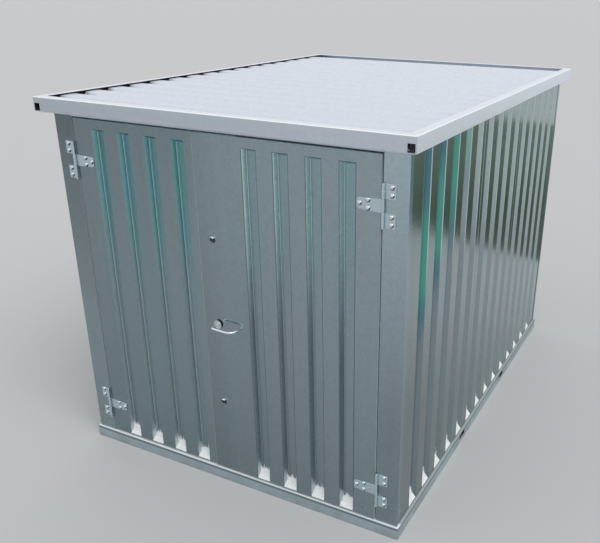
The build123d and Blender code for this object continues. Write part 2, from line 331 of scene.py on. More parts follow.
def trim_end(piece, place, normal):
    """Cuts a solid piece off square or mitred and closes the cut."""
    edit(piece)
    bpy.ops.mesh.select_all(action="SELECT")
    bpy.ops.mesh.bisect(plane_co=place, plane_no=normal, clear_outer=True, use_fill=True)
    done(piece)


def join(name, pieces):
    """Joins pieces into one mesh."""
    only(pieces[0])
    for piece in pieces:
        piece.select_set(True)
    bpy.ops.object.join()
    return named(name)


def finish_piece(piece, body, material, slot, *replaced):
    """Gives a piece its material and body, and hides the nodes that it stands for; the slot is not used."""
    piece.data.materials.clear()
    piece.data.materials.append(material)
    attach(piece, body)
    if replaced:
        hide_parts(*replaced)


# Sheets

def press_ribs(piece, centres, mouth, low, high):
    """Presses ribs inwards into a flat sheet that faces -Y, in edit mode; their lower ends slope gently."""
    for centre in centres:
        for side in (-1, 1):
            cut((centre + side * mouth / 2, 0, 0), (1, 0, 0))
    for level in (low, high):
        cut((0, 0, level), (0, 0, 1))
    choose_faces(piece, lambda spot: low < spot.z < high and any(
        abs(spot.x - centre) < mouth / 2 for centre in centres))
    bpy.ops.mesh.inset(thickness=RIB_FLANK, use_individual=True)
    bpy.ops.transform.translate(value=(0, RIB_DEPTH, 0))
    choose_edges(piece, lambda spot, edge: spot.y > RIB_DEPTH / 2 and spot.z < low + 2 * RIB_FLANK
                 and close(edge.verts[0].co.z, edge.verts[1].co.z))
    bpy.ops.transform.translate(value=(0, 0, RIB_RUN - RIB_FLANK))
    choose_edges(piece, lambda spot, edge: min(corner.co.y for corner in edge.verts) > RIB_DEPTH / 2)
    bpy.ops.mesh.bevel(offset=RIB_INNER_FOLD, segments=RIB_INNER_STEPS, affect="EDGES")


def pressed_sheet(name, x_span, z_span, centres, mouth, top_margin, fold_back, folded):
    """A ribbed sheet facing -Y in the plane y = 0; the free edges that pass a test are folded back."""
    start, end = x_span
    foot, top = z_span
    piece = strip(name, (start, 0, foot), (end - start, 0, 0), (0, 0, top - foot))
    edit(piece)
    press_ribs(piece, centres, mouth, foot + RIB_MARGIN, top - top_margin)
    choose_edges(piece, lambda spot, edge: edge.is_boundary and folded(spot))
    extrude_edges((0, fold_back, 0))
    bevel_folds(SHEET_FOLD)
    return thicken(done(piece), SHEET_METAL)


def rib_places(count, pitch, span):
    """Centres of the evenly spaced ribs that lie between two limits."""
    row = [(i - (count - 1) / 2) * pitch for i in range(count)]
    return [place for place in row if span[0] < place < span[1]]


def wall_sheet(name, x_span, z_span, rib_count, turn, place):
    """A wall sheet with its upright edges folded back, turned and moved into its wall."""
    piece = smooth(pressed_sheet(
        name, x_span, z_span, rib_places(rib_count, WALL_PITCH, x_span), WALL_MOUTH, RIB_MARGIN, WALL_RETURN,
        lambda spot: close(spot.x, x_span[0]) or close(spot.x, x_span[1])))
    piece.rotation_euler.z = turn
    piece.location = place
    return set_down(piece)


def side_wall(side, part):
    """One sheet of a side wall, with its node's name."""
    node_name = f"side_wall_{side}_{part}"
    low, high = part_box(node_name)
    sign, face = (1, high.x) if side == "right" else (-1, low.x)
    x_span = sorted((sign * low.y, sign * high.y))
    return wall_sheet(f"wall_sheet_{side}_{part}", x_span, (low.z, high.z), SIDE_RIBS, sign * pi / 2,
                      (face, 0, 0)), node_name


def back_wall(side):
    """One sheet of the back wall, with its node's name."""
    node_name = f"back_wall_{side}"
    low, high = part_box(node_name)
    return wall_sheet(f"wall_sheet_back_{side}", (-high.x, -low.x), (low.z, high.z), BACK_RIBS, pi,
                      (0, high.y, 0)), node_name


def door_leaf(side, holes=()):
    """A ribbed door sheet folded back along all four edges, with round holes given by radius, x and z."""
    node_name = f"door_{side}"
    low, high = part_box(node_name)
    sign = -1 if side == "left" else 1
    piece = pressed_sheet(
        f"door_sheet_{side}", (low.x, high.x), (low.z, high.z),
        [sign * (DOOR_RIB_INNER + i * DOOR_PITCH) for i in range(DOOR_RIBS)],
        DOOR_MOUTH, DOOR_TOP_MARGIN, DOOR_RETURN, lambda spot: True)
    piece.location.y = low.y
    set_down(piece)
    for radius, x, z in holes:
        combine(piece, drum("drill", (x, low.y, z), radius, 4 * SHEET_METAL), "DIFFERENCE")
    return smooth(piece), node_name


def roof_sheet(part):
    """A roof sheet folded into ribs across the width; the last rib of the back one runs low to the rim."""
    node_name = f"roof_sheet_{part}"
    low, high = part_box(node_name)
    floor = high.z - RIB_DEPTH
    top = floor + ROOF_DEPTH
    section = [(low.y, top)]
    for centre in rib_places(ROOF_RIBS, ROOF_PITCH, (low.y, high.y)):
        near = centre - ROOF_MOUTH / 2
        far = centre + ROOF_MOUTH / 2
        section += [(near, top), (near + RIB_FLANK, floor), (far - RIB_FLANK, floor), (far, top)]
    if part == "back":
        section[-2:] = [(high.y, floor)]
    else:
        section.append((high.y, top))
    piece = folded_strip(f"roof_cover_{part}", [(low.x, *point) for point in section], (high.x - low.x, 0, 0))
    return folded_metal(piece, SHEET_FOLD, SHEET_METAL), node_name


# Folded sections

TURNS = {"front": 0, "right": pi / 2, "back": pi, "left": 3 * pi / 2}


def frame_side(name, frame_name, side, path, fold, metal, windows):
    """One side of a mitred rectangular frame; the path gives (inwards, height) points of its section."""
    half_y = -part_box(f"{frame_name}_front")[0].y
    half_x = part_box(f"{frame_name}_right")[1].x
    length, half_span = (2 * half_x, half_y) if side in ("front", "back") else (2 * half_y, half_x)
    points = [(length / 2, -half_span + inward, height) for inward, height in path]
    piece = folded_strip(name, points, (-length, 0, 0))
    for x_span, z_span in windows:
        open_window(piece, -half_span, x_span, z_span)
    thicken(round_folds(piece, fold), metal)
    for end in (-1, 1):
        trim_end(piece, (end * (length / 2 - HAIR_GAP), -half_span, 0), Vector((end, 1, 0)).normalized())
    piece.rotation_euler.z = TURNS[side]
    return smooth(set_down(piece)), f"{frame_name}_{side}"


def base_rail(side):
    """A folded base rail; the long ones have two lifting slots."""
    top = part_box(f"base_rail_{side}")[1].z
    path = [(RAIL_FLANGE, top), (0, top), (0, 0), (RAIL_FLANGE, 0)]
    windows = []
    if side in ("left", "right"):
        for middle in (-SLOT_SPACING / 2, SLOT_SPACING / 2):
            x_span = (middle - SLOT_LENGTH / 2, middle + SLOT_LENGTH / 2)
            windows.append((x_span, (SLOT_LOW, SLOT_LOW + SLOT_HEIGHT)))
    return frame_side(f"base_section_{side}", "base_rail", side, path, RAIL_FOLD, RAIL_METAL, windows)


def roof_beam(side):
    """A folded roof beam with its rim, upstand and inner ledge; the short ones have a window at each end."""
    low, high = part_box(f"roof_beam_{side}")
    short = side in ("front", "back")
    upstand = (high.y - low.y if short else high.x - low.x) - BEAM_LEDGE
    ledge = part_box("roof_sheet_front")[0].z - HAIR_GAP
    path = [(BEAM_RIM, high.z), (0, high.z), (0, low.z), (upstand, low.z), (upstand, ledge),
            (upstand + BEAM_LEDGE, ledge)]
    windows = []
    if short:
        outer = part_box("roof_beam_right")[1].x - BEAM_WINDOW_EDGE
        inner = outer - BEAM_WINDOW
        foot = low.z + BEAM_WINDOW_EDGE
        for x_span in ((-outer, -inner), (inner, outer)):
            windows.append((x_span, (foot, foot + BEAM_WINDOW_HEIGHT)))
    return frame_side(f"roof_section_{side}", "roof_beam", side, path, BEAM_FOLD, BEAM_METAL, windows)


def corner_post(place, side):
    """A corner post: wide with its jamb and door stop at the front, a plain angle at the back."""
    low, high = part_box(f"corner_post_{place}_right")
    if place == "front":
        jamb = low.x + STOP_LIP
        points = [(high.x, low.y + POST_LEG), (high.x, low.y), (jamb, low.y), (jamb, high.y), (low.x, high.y)]
    else:
        points = [(low.x, high.y), (high.x, high.y), (high.x, low.y)]
    sign, start = (1, low.z) if side == "right" else (-1, high.z)
    piece = folded_strip(f"post_{place}_{side}", [(sign * x, y, start) for x, y in points],
                         (0, 0, sign * (high.z - low.z)))
    return folded_metal(piece, POST_FOLD, POST_METAL), f"corner_post_{place}_{side}"


def door_header():
    """The folded header above the leaves, with its stop lip."""
    low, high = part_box("door_header")
    foot = low.z + STOP_LIP
    path = [(high.x, low.y, high.z), (high.x, low.y, foot), (high.x, high.y, foot), (high.x, high.y, low.z)]
    piece = folded_strip("header_section", path, (low.x - high.x, 0, 0))
    return folded_metal(piece, POST_FOLD, POST_METAL), "door_header"


# Fittings

def hinge_axis(side):
    """The place of a door's hinge line, from its joint."""
    for joint in frame["joints"]:
        if joint["name"] == f"{side}_door_hinge":
            return Vector(joint["pos_m"])


def lock_line():
    """The place of the handle's turning line on the leaf."""
    low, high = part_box("handle_rosette")
    return (low + high) / 2


def guide_levels():
    """The heights of the two heads that hold the rod guides."""
    low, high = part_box("rod_guides")
    rise = (high.z - low.z - GUIDE_SPAN) / 2
    return low.z + rise, high.z - rise


def before(node_name):
    """The y just before a node's front face."""
    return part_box(node_name)[0].y - HAIR_GAP


def plate(name, x_span, y_span, z_span):
    """A flat plate between two limits on each axis."""
    low, high = (Vector(corner) for corner in zip(x_span, y_span, z_span))
    bpy.ops.mesh.primitive_cube_add(size=1, location=(low + high) / 2)
    piece = named(name)
    piece.scale = high - low
    return set_down(piece)


def barrel(name, place, radius, length):
    """An upright round barrel with softened ends."""
    bpy.ops.mesh.primitive_cylinder_add(vertices=28, radius=radius, depth=length, location=place)
    return soften(set_down(named(name)), 60)


def drum(name, place, radius, length, vertices=32):
    """A round drum lying along Y."""
    bpy.ops.mesh.primitive_cylinder_add(
        vertices=vertices, radius=radius, depth=length, location=place, rotation=(pi / 2, 0, 0),
    )
    return named(name)


def round_face(name, place, radius, vertices, **turn):
    """A round face, left in edit mode with all of it selected."""
    bpy.ops.mesh.primitive_circle_add(
        vertices=vertices, radius=radius, fill_type="NGON", location=place, **turn,
    )
    piece = set_down(named(name))
    edit(piece)
    bpy.ops.mesh.select_all(action="SELECT")
    return piece


def grow_dome(height, steps, slack, axis, centre):
    """Raises the selected round face into a dome along an axis; the slack leaves its pole flat."""
    turns = [i / (steps + slack) * pi / 2 for i in range(steps + 1)]
    for last, turn in zip(turns, turns[1:]):
        rise = Vector((0, 0, 0))
        rise[axis] = (sin(turn) - sin(last)) * height
        extrude(rise)
        size = Vector((1, 1, 1)) * cos(turn) / cos(last)
        size[axis] = 1
        bpy.ops.transform.resize(value=size, center_override=centre)


def hinge_strap(place, side):
    """A strap with clipped corners and its rolled middle knuckle."""
    node_name = f"hinge_strap_{place}_{side}"
    low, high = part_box(node_name)
    axis = hinge_axis(side)
    tip = low.x if side == "right" else high.x
    back = before(f"door_{side}")
    piece = plate(f"strap_{place}_{side}", sorted((axis.x, tip)), (back - HINGE_METAL, back), (low.z, high.z))
    middle = (low.z + high.z) / 2
    half = (high.z - low.z) / 2
    edit(piece)
    choose_faces(piece, lambda spot: close(spot.x, tip))
    bpy.ops.transform.resize(value=(1, 1, 1 - STRAP_TAPER / half), center_override=(tip, back, middle))
    choose_edges(piece, lambda spot, edge: close(spot.x, tip)
                 and close(abs(spot.z - middle), half - STRAP_TAPER))
    bpy.ops.mesh.bevel(offset=STRAP_CHAMFER, segments=1, affect="EDGES")
    soften(done(piece))
    knuckle = barrel("knuckle", (axis.x, axis.y, middle), axis.y - low.y, high.z - low.z)
    return smooth(combine(piece, knuckle, "UNION"), HINGE_ANGLE), node_name


def hinge_lugs(place, side):
    """Two lugs with their knuckles, and the pin that stands a little above them."""
    node_name = f"hinge_lugs_{place}_{side}"
    low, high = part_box(node_name)
    axis = hinge_axis(side)
    radius = axis.y - low.y
    outer = high.x if side == "right" else low.x
    back = before("corner_post_front_right")
    pieces = []
    for foot in (low.z, high.z - LUG_HEIGHT):
        z_span = (foot, foot + LUG_HEIGHT)
        lug = soften(plate("lug", sorted((axis.x, outer)), (back - HINGE_METAL, back), z_span))
        knuckle = barrel("knuckle", (axis.x, axis.y, foot + LUG_HEIGHT / 2), radius, LUG_HEIGHT)
        pieces.append(combine(lug, knuckle, "UNION"))
    middle = (low.z + high.z) / 2
    pieces.append(barrel("pin", (axis.x, axis.y, middle), radius * PIN_SHARE, high.z - low.z + PIN_PROUD))
    return smooth(join(f"lugs_{place}_{side}", pieces), HINGE_ANGLE), node_name


def dome_bolt(place):
    """A mushroom bolt head standing out towards -Y from a place on a plate."""
    piece = round_face("bolt", (0, 0, 0), BOLT_RADIUS, 20)
    rim = BOLT_HEIGHT * BOLT_RIM
    extrude((0, 0, rim))
    grow_dome(BOLT_HEIGHT - rim, BOLT_STEPS, 0.5, 2, (0, 0, 0))
    face_outwards()
    done(piece)
    piece.rotation_euler.x = pi / 2
    piece.location = place
    return set_down(piece)


def bolts(name, holder, spots):
    """The bolts of a plate that lies on a node, at places given by x and z."""
    front = before(holder) - HINGE_METAL
    return smooth(join(name, [dome_bolt((x, front, z)) for x, z in spots]), HINGE_ANGLE)


def strap_bolts(place, side):
    """The three bolts of a strap."""
    low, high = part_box(f"hinge_strap_{place}_{side}")
    tip, inwards = (low.x, 1) if side == "right" else (high.x, -1)
    middle = (low.z + high.z) / 2
    spots = [(tip + inwards * STRAP_BOLT_TIP, middle)]
    for rise in (STRAP_BOLT_RISE, -STRAP_BOLT_RISE):
        spots.append((tip + inwards * STRAP_BOLT_PAIR, middle + rise))
    return bolts(f"strap_bolts_{place}_{side}", f"door_{side}", spots)


def lug_bolts(place, side):
    """The four bolts of a pair of lugs."""
    low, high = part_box(f"hinge_lugs_{place}_{side}")
    x = hinge_axis(side).x + (LUG_BOLT_REACH if side == "right" else -LUG_BOLT_REACH)
    spots = []
    for middle in (low.z + LUG_HEIGHT / 2, high.z - LUG_HEIGHT / 2):
        for rise in (-LUG_BOLT_RISE, LUG_BOLT_RISE):
            spots.append((x, middle + rise))
    return bolts(f"lug_bolts_{place}_{side}", "corner_post_front_right", spots)


def quarter_bend(centre):
    """Sweeps the selected face a quarter turn around an upright line."""
    bpy.ops.mesh.spin(steps=BEND_STEPS, angle=-pi / 2, center=centre, axis=(0, 0, 1))


def bow_handle():
    """A round bar bent into an open bow that comes back to the leaf, with a domed tip."""
    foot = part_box("handle_bow")[1].y
    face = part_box("handle_rosette")[1].y
    hub = lock_line()
    piece = round_face("handle_bar", (hub.x, foot, hub.z), BAR_RADIUS, 24, rotation=(pi / 2, 0, 0))
    first = Vector((hub.x + BOW_FIRST_BEND, face - BOW_STAND + BOW_FIRST_BEND, hub.z))
    extrude((0, first.y - foot, 0))
    quarter_bend(first)
    extrude((BOW_RUN, 0, 0))
    last = first + Vector((BOW_RUN, BOW_LAST_BEND - BOW_FIRST_BEND, 0))
    quarter_bend(last)
    tip = Vector((last.x + BOW_LAST_BEND, face - BOW_TIP_GAP - BAR_RADIUS, last.z))
    extrude((0, tip.y - last.y, 0))
    grow_dome(BAR_RADIUS, TIP_STEPS, 0.4, 1, tip)
    bpy.ops.mesh.select_all(action="SELECT")
    bpy.ops.mesh.remove_doubles(threshold=1e-6)
    face_outwards()
    bpy.ops.transform.rotate(value=radians(BOW_TILT), orient_axis="Y", center_override=(hub.x, face, hub.z))
    return smooth(done(piece), BAR_ANGLE)


def dished_disc(name, place, radius, height, vertices, ring, sink):
    """A round disc on a leaf, its face sunk within a raised ring."""
    piece = set_down(drum(name, place, radius, height, vertices))
    edit(piece)
    choose_faces(piece, lambda spot: close(spot.y, place[1] - height / 2))
    bpy.ops.mesh.inset(thickness=ring)
    bpy.ops.mesh.inset(thickness=DISH_DEPTH / 2)
    bpy.ops.transform.translate(value=(0, sink, 0))
    return soften(done(piece))


def handle_rose():
    """A round rose with a raised ring around its dished face."""
    low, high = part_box("handle_rosette")
    radius = (high.x - low.x) / 2
    return smooth(dished_disc("handle_rose", lock_line(), radius, high.y - low.y, 40, ROSE_RING, DISH_DEPTH))


def guide_collars():
    """Two low dished collars around the heads that hold the rod guides."""
    middle = before("door_right") - COLLAR_HEIGHT / 2
    collars = []
    for level in guide_levels():
        place = (lock_line().x, middle, level)
        collars.append(dished_disc("collar", place, COLLAR_RADIUS, COLLAR_HEIGHT, 32, COLLAR_RING,
                                   COLLAR_HEIGHT - DISH_DEPTH))
    return smooth(join("guide_collars", collars))


# Shader values

class Value:
    """A value in a shader tree, which can be used in sums."""

    def __init__(self, socket):
        self.socket = socket
        self.tree = socket.id_data

    def __add__(self, other):
        return calculated("ADD", self, other)

    def __sub__(self, other):
        return calculated("SUBTRACT", self, other)

    def __rsub__(self, other):
        return calculated("SUBTRACT", other, self)

    def __mul__(self, other):
        return calculated("MULTIPLY", self, other)

    def __rmul__(self, other):
        return calculated("MULTIPLY", other, self)

    def __truediv__(self, other):
        return calculated("DIVIDE", self, other)

    def __rtruediv__(self, other):
        return calculated("DIVIDE", other, self)

    def __lt__(self, other):
        return calculated("LESS_THAN", self, other)

    def __gt__(self, other):
        return calculated("GREATER_THAN", self, other)

    def __abs__(self):
        return calculated("ABSOLUTE", self)


def tree_of(*values):
    """The shader tree of the first value that isn't a plain number or colour."""
    return next(value.tree for value in values if isinstance(value, Value))


def plug(value, socket):
    """Links a value to a socket or sets it there; a plain colour is made opaque."""
    if isinstance(value, Value):
        value.tree.links.new(value.socket, socket)
    elif socket.type == "RGBA":
        socket.default_value = (*value, 1)
    else:
        socket.default_value = value


def add(tree, kind, inputs=None, **settings):
    """Adds a node, sets its settings, and links or sets its inputs."""
    made = tree.nodes.new(kind)
    for key, value in settings.items():
        setattr(made, key, value)
    for key, value in (inputs or {}).items():
        plug(value, made.inputs[key])
    return made


def result(tree, kind, inputs, output=0, **settings):
    """One output of a new node."""
    return Value(add(tree, kind, inputs, **settings).outputs[output])


def calculated(operation, *terms, clamp=False):
    """The result of a Math node."""
    return result(tree_of(*terms), "ShaderNodeMath", dict(enumerate(terms)), operation=operation,
                  use_clamp=clamp)


def step(value, low, high):
    """A soft step from 0 to 1 between two limits."""
    limits = {"Value": value, "From Min": low, "From Max": high}
    return result(value.tree, "ShaderNodeMapRange", limits, "Result", interpolation_type="SMOOTHSTEP")


def ramp(value, low, high, start, end=1.0):
    """A straight run from one level to another between two limits."""
    limits = {"Value": value, "From Min": low, "From Max": high, "To Min": start, "To Max": end}
    return result(value.tree, "ShaderNodeMapRange", limits, "Result")


def mix(share, a, b, blend="MIX"):
    """A mix of two colours."""
    return result(tree_of(share, a, b), "ShaderNodeMix", {0: share, 6: a, 7: b}, 2, data_type="RGBA",
                  blend_type=blend)


def toned(colour, *tones):
    """A colour multiplied by several tones."""
    for tone in tones:
        colour = mix(1.0, colour, tone, "MULTIPLY")
    return colour


def parts_of(vector):
    """The three coordinates of a vector."""
    made = add(vector.tree, "ShaderNodeSeparateXYZ", {"Vector": vector})
    return {axis: Value(made.outputs[axis]) for axis in "XYZ"}


def stretched(place, factors):
    """A place with each coordinate multiplied by its factor."""
    return result(place.tree, "ShaderNodeVectorMath", {0: place, 1: factors}, operation="MULTIPLY")


def noise(place, scale, detail, **others):
    """Soft noise over a place."""
    inputs = {"Vector": place, "Scale": scale, "Detail": detail, **others}
    return result(place.tree, "ShaderNodeTexNoise", inputs, "Fac")


# Shared effects

WHITE = (1, 1, 1)
WARM_CAST = (1.05, 0.99, 0.98)
COOL_CAST = (0.95, 1.01, 1.02)


def new_group(name, inputs, outputs):
    """An empty shader group that takes a place and more, its entering values and its leaving sockets."""
    group = bpy.data.node_groups.new(name, "ShaderNodeTree")
    group.interface.new_socket("Place", in_out="INPUT", socket_type="NodeSocketVector")
    for label, value in inputs.items():
        kind = "Vector" if isinstance(value, tuple) else "Float"
        made = group.interface.new_socket(label, in_out="INPUT", socket_type=f"NodeSocket{kind}")
        made.default_value = value
    for label, kind in outputs.items():
        group.interface.new_socket(label, in_out="OUTPUT", socket_type=f"NodeSocket{kind}")
    entry = group.nodes.new("NodeGroupInput")
    leave = group.nodes.new("NodeGroupOutput")
    return group, {socket.name: Value(socket) for socket in entry.outputs}, leave.inputs


def spangle_group():
    """Zinc crystals: a tone that differs from flake to flake, and their faint relief."""
    group, given, leave = new_group("zinc_spangle", {"Flake Size": 0.012, "Contrast": 0.1},
                                    {"Tone": "Float", "Relief": "Float"})
    flakes = {"Vector": given["Place"], "Scale": 1.0 / given["Flake Size"]}
    colour = result(group, "ShaderNodeTexVoronoi", flakes, "Color")
    edge = result(group, "ShaderNodeTexVoronoi", flakes, "Distance", feature="DISTANCE_TO_EDGE")
    grey = result(group, "ShaderNodeSeparateColor", {"Color": colour}, "Red")
    plug((grey - 0.5) * given["Contrast"] + 1.0, leave["Tone"])
    plug(step(edge, 0.0, 0.12), leave["Relief"])
    return group


def streak_group():
    """Long faint streaks left by rolling and run-off, along one direction."""
    group, given, leave = new_group("rolling_streaks", {"Stretch": (14, 14, 0.5), "Contrast": 0.1},
                                    {"Tone": "Float", "Cast": "Color"})
    place = stretched(given["Place"], given["Stretch"])
    plug((noise(place, 1.0, 4.0, Roughness=0.6) - 0.5) * given["Contrast"] + 1.0, leave["Tone"])
    drift = noise(stretched(place, (0.45, 0.45, 0.9)), 1.0, 2.0)
    plug(mix(step(drift, 0.35, 0.65), WARM_CAST, COOL_CAST), leave["Cast"])
    return group


def buckle_group():
    """The broad shallow waves of thin sheet between its ribs, as a height."""
    group, given, leave = new_group("sheet_buckle", {"Stretch": (5, 5, 1.6), "Height": 0.002},
                                    {"Height": "Float"})
    plug(noise(stretched(given["Place"], given["Stretch"]), 1.0, 1.0) * given["Height"], leave["Height"])
    return group


def foot_dust_group():
    """A mask of dust and splashes that thins out upwards from the ground."""
    group, given, leave = new_group("foot_dust", {"Reach": 0.35, "Amount": 0.4}, {"Mask": "Float"})
    height = parts_of(given["Place"])["Z"]
    fade = calculated("SUBTRACT", 1.0, height / given["Reach"], clamp=True)
    patch = step(noise(given["Place"], 9.0, 6.0), 0.4, 0.7)
    plug(calculated("MULTIPLY", fade * patch, given["Amount"], clamp=True), leave["Mask"])
    return group


SPANGLE = spangle_group()
STREAKS = streak_group()
BUCKLE = buckle_group()
FOOT_DUST = foot_dust_group()


def placed(group, place, **inputs):
    """Places a shader group in a material and gives the values that leave it."""
    labels = {key.replace("_", " ").title(): value for key, value in inputs.items()}
    made = add(place.tree, "ShaderNodeGroup", {"Place": place, **labels}, node_tree=group)
    return {socket.name: Value(socket) for socket in made.outputs}


# Materials

ZINC_DUST = (0.30, 0.29, 0.27)
DULL_ROUGHNESS = 0.3
SPANGLE_RELIEF = 0.00002
GRAIN_RELIEF = 0.0006
PALE_GRAIN = (0.56, 0.40, 0.24)
DARK_GRAIN = (0.40, 0.26, 0.14)


class Spot:
    """What the layers of a material read: the place, what its surface faces, and the flake's tone."""

    def __init__(self, tree):
        coordinates = tree.nodes.new("ShaderNodeTexCoord").outputs
        self.place = Value(coordinates["Object"])
        self.at = parts_of(self.place)
        self.facing = parts_of(Value(coordinates["Normal"]))
        self.tone = None


def blank_material(name):
    """A material with its tree and the inputs of its Principled shader."""
    material = bpy.data.materials.new(name)
    material.use_nodes = True
    tree = material.node_tree
    tree.nodes.clear()
    shader = tree.nodes.new("ShaderNodeBsdfPrincipled")
    output = tree.nodes.new("ShaderNodeOutputMaterial")
    tree.links.new(shader.outputs[0], output.inputs["Surface"])
    return material, tree, shader.inputs


def bumped(height, distance):
    """The normal of a surface with a relief."""
    inputs = {"Height": height, "Distance": distance, "Strength": 1.0}
    return result(height.tree, "ShaderNodeBump", inputs, "Normal")


def zinc(name, colour, metallic, roughness, flake=0.012, contrast=0.10, streak=(14, 14, 0.5),
         streak_contrast=0.14, cast=1.0, buckle=0.0, dust=0.3, dust_reach=0.3, layers=(), patches=(),
         gloss=None):
    """Hot-dip zinc with its spangle, rolling streaks, sheet waves, layers, matt patches and dust."""
    material, tree, shader = blank_material(name)
    spot = Spot(tree)
    spangle = placed(SPANGLE, spot.place, flake_size=flake, contrast=contrast)
    streaks = placed(STREAKS, spot.place, stretch=streak, contrast=streak_contrast)
    spot.tone = spangle["Tone"]
    base = toned(colour, spot.tone, streaks["Tone"], mix(cast, WHITE, streaks["Cast"]))
    for layer in layers:
        base = layer(spot, base)
    dull = placed(FOOT_DUST, spot.place, reach=dust_reach, amount=dust)["Mask"]
    base = mix(dull, base, ZINC_DUST)
    for patch in patches:
        mask, fresh = patch(spot)
        base = mix(mask, base, toned(fresh, spot.tone))
        dull = calculated("MAXIMUM", dull, mask)
        metallic = metallic * (1.0 - mask)
    rough = spot.tone * roughness
    if gloss:
        rough = rough * gloss(spot)
    relief = spangle["Relief"] * SPANGLE_RELIEF
    if buckle:
        relief = relief + placed(BUCKLE, spot.place, height=buckle)["Height"]
    plug(base, shader["Base Color"])
    plug(metallic, shader["Metallic"])
    plug(calculated("ADD", rough, dull * DULL_ROUGHNESS, clamp=True), shader["Roughness"])
    plug(bumped(relief, 1.0), shader["Normal"])
    return material


def timber(name):
    """Pale pressed floor board with a long grain."""
    material, tree, shader = blank_material(name)
    grain = noise(stretched(Spot(tree).place, (30, 2.5, 30)), 1.0, 6.0, Distortion=0.6)
    plug(mix(step(grain, 0.35, 0.68), DARK_GRAIN, PALE_GRAIN), shader["Base Color"])
    plug(grain * 0.2 + 0.5, shader["Roughness"])
    plug(bumped(grain, GRAIN_RELIEF), shader["Normal"])
    return material


# Layers change a zinc's colour; patches are matt and give their mask and their colour.
# First the limits of soft steps: depths behind the face, heights, and how squarely a surface faces.

FLANK_TURN = (0.35, 0.80)
FLANK_TOP = (0.90, 1.75)
FOLD_DEPTH = (0.0020, 0.0040)
FOLD_TURN = (0.05, 0.22)
WALL_FOLD_START = (1.25, 1.55)
SEAM_REACH = 0.15
CORNER_DEPTH = (0.024, 0.030)
CORNER_TURN = (0.06, 0.25)
FLOOR_DEPTH = (0.029, 0.033)
FLOOR_SHARE = (0.40, 0.78)
# Where the painted reflections lie: depths and heights in the grooves, and the lean and front of the side
# walls' band
REFLECTION_DEPTH = (0.004, 0.014)
REFLECTION_HEIGHT = (1.05, 1.70)
SIDE_REFLECTION_LEAN = (2.10, 2.45)
SIDE_REFLECTION_FRONT = (-0.85, -0.40)
GREEN_BAND_START = (2.34, 2.50)
GREEN_BAND_END = (2.74, 3.02)
RUN_TOP = 0.14
RUN_REACH = 0.05

SIDE_BASE = (0.25, 0.31, 0.325)
# Painted reflection: the colours of the wall rib flanks above and below the slanting line
UPPER_FLANK = (0.49, 0.60, 0.60)
LOWER_FLANK = (0.245, 0.31, 0.335)
LOWER_BACK_FLANK = (0.46, 0.535, 0.57)
# Painted shade and highlight lines on the folds of the wall ribs
WALL_FOLD_SHADE_AND_LIGHT = ((0.20, 0.26, 0.27), (0.66, 0.78, 0.80))
# Painted reflection in the rib grooves of the leaves
BLUE_REFLECTION = (0.72, 1.00, 1.03)
GREEN_REFLECTION = (0.67, 1.02, 0.96)
# Painted reflection on the first flanks of the side walls
BLUE_SIDE_REFLECTION = (0.115, 0.26, 0.30)
GREEN_SIDE_REFLECTION = (0.12, 0.42, 0.35)
# Painted light: pale zinc on the folded-back edges and the lit posts' jambs, bright zinc at the seam and on
# the base frame's front ledge
PALE_ZINC = (0.46, 0.51, 0.53)
BRIGHT_ZINC = (0.82, 0.86, 0.88)
# Painted highlight on the upward-sloping rib ends
RUN_HIGHLIGHT = (0.93, 0.95, 0.96)
DIM_RUN_HIGHLIGHT = (0.60, 0.66, 0.68)
# Painted highlight on the rims of the roof beams
RIM_HIGHLIGHT = (0.98, 0.99, 1.0)
# Painted light, dimmer, on the top of the base frame's sides
SHADED_LEDGE_ZINC = (0.40, 0.43, 0.44)
# Painted shade on the jambs of the left front post
SHADED_JAMB_ZINC = (0.24, 0.28, 0.30)
# Painted shade around the edge of the handle's rose
RIM_SHADE = (0.03, 0.035, 0.04)
# Painted shade on the faces of the guide collars
FACE_SHADE = (0.05, 0.06, 0.065)
# Painted shade on the inner faces of the side beams
INSIDE_SHADE = (0.06, 0.07, 0.08)
SHADE_LINE = (0.20, 0.24, 0.26)


def sunk(spot, axis, face):
    """How far a surface lies behind a sheet's outer face, which stands at a distance from the middle."""
    return face - abs(spot.at[axis])


def flank_mask(spot, axis):
    """A mask of the pressed flanks that face along an axis."""
    return step(abs(spot.facing[axis]), *FLANK_TURN)


def leaning(spot, slope):
    """The height plus a share of the distance towards the back."""
    return spot.at["Z"] + spot.at["Y"] * slope


def reflection_hue(spot):
    """Where the painted reflection turns from blue to green."""
    return step(noise(spot.place, 2.2, 1.0), 0.42, 0.60)


def flanks(axis, colour, top_colour=None):
    """Painted reflection: another colour on the faces that turn along an axis, such as the flanks of the
    ribs, and a third near the top.
    """
    def layer(spot, base):
        drawn = mix(step(spot.at["Z"], *FLANK_TOP), colour, top_colour) if top_colour else colour
        return mix(flank_mask(spot, axis), base, toned(drawn, spot.tone))
    return layer


def side_flank_reflection(axis):
    """Painted reflection on the flanks of the wall ribs: bright above and dull below a slanting line."""
    def layer(spot, base):
        dull = mix(ramp(spot.at["Y"], -1.3, 1.0, 0.0), LOWER_FLANK, LOWER_BACK_FLANK)
        drawn = mix(step(leaning(spot, 0.28), 1.10, 1.90), dull, UPPER_FLANK)
        return mix(flank_mask(spot, axis), base, toned(drawn, spot.tone))
    return layer


